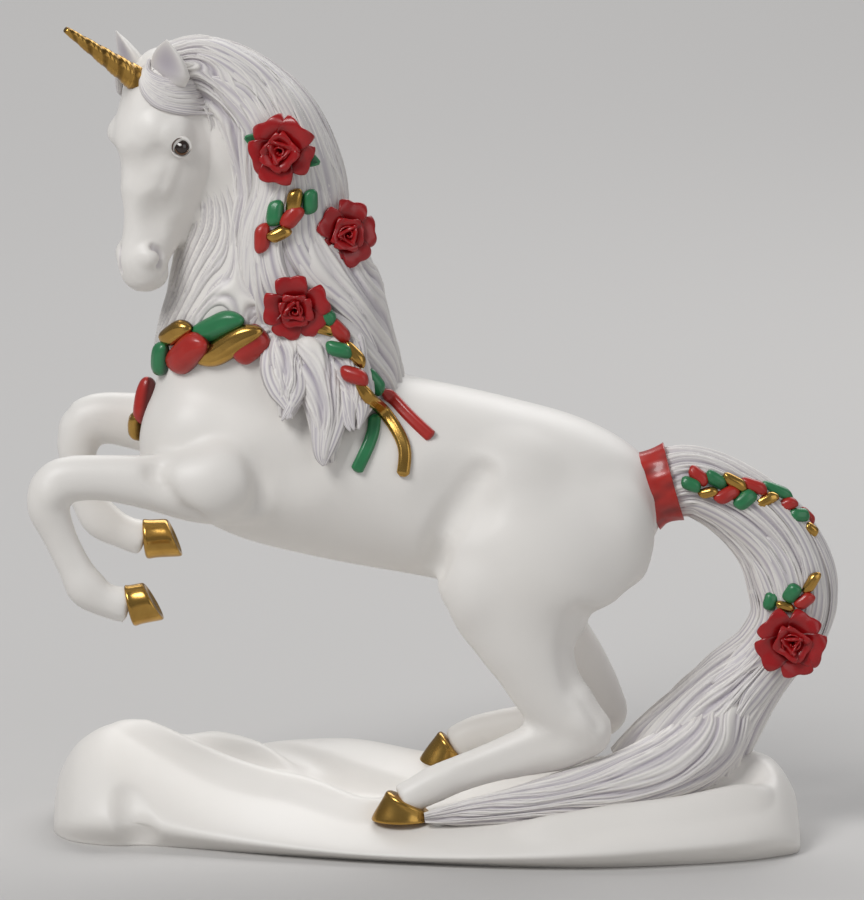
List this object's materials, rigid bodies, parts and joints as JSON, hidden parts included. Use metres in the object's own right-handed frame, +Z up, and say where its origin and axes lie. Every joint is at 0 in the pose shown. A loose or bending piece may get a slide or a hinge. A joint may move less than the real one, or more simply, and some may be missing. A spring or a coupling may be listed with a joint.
{
  "type": "unicorn figurine",
  "caption": "Rearing porcelain unicorn on a snowdrift base, with a twisted gilt horn, gilt hooves, roses and plaited ribbon in its mane and tail.",
  "frame": {"origin": "on the underside of the base, below the middle of the body", "axes": "+X from the chest to the tail, +Y away from the dressed side, +Z up"},
  "size_m": [0.2192, 0.0986, 0.2243],
  "materials": {
    "white": "satin",
    "gilt": "polished",
    "eye": "gloss",
    "wrap": "gloss",
    "rose_red": "gloss",
    "leaf_green": "gloss",
    "ribbon_red": "gloss",
    "ribbon_green": "gloss",
    "ribbon_gold": "polished"
  },
  "bodies": {
    "root": {"base_shell": "white", "torso_shell": "white", "neck_shell": "white", "head": "white", "left_ear": "white", "right_ear": "white", "left_foreleg": "white", "right_foreleg": "white", "left_hind_leg": "white", "right_hind_leg": "white", "mane_left": "white", "mane_right": "white", "mane_drape": "white", "forelock": "white", "tail_plume": "white", "tail_sweep": "white", "tail_end": "white", "horn": "gilt", "left_fore_hoof": "gilt", "right_fore_hoof": "gilt", "left_hind_hoof": "gilt", "right_hind_hoof": "gilt", "left_eye": "eye", "right_eye": "eye", "tail_wrap": "wrap", "rose_mane_top_bud": "rose_red", "rose_mane_top_inner_petals": "rose_red", "rose_mane_top_outer_petals": "rose_red", "rose_mane_back_bud": "rose_red", "rose_mane_back_inner_petals": "rose_red", "rose_mane_back_outer_petals": "rose_red", "rose_mane_low_bud": "rose_red", "rose_mane_low_inner_petals": "rose_red", "rose_mane_low_outer_petals": "rose_red", "rose_tail_bud": "rose_red", "rose_tail_inner_petals": "rose_red", "rose_tail_outer_petals": "rose_red", "rose_mane_top_leaves": "leaf_green", "rose_mane_back_leaves": "leaf_green", "rose_mane_low_leaves": "leaf_green", "rose_tail_leaves": "leaf_green", "collar_red": "ribbon_red", "mane_twist_red": "ribbon_red", "mane_plait_red": "ribbon_red", "tail_plait_red": "ribbon_red", "tail_twist_red": "ribbon_red", "collar_green": "ribbon_green", "mane_twist_green": "ribbon_green", "mane_plait_green": "ribbon_green", "tail_plait_green": "ribbon_green", "tail_twist_green": "ribbon_green", "collar_gold": "ribbon_gold", "mane_twist_gold": "ribbon_gold", "mane_plait_gold": "ribbon_gold", "tail_plait_gold": "ribbon_gold", "tail_twist_gold": "ribbon_gold"}
  },
  "joints": []
}
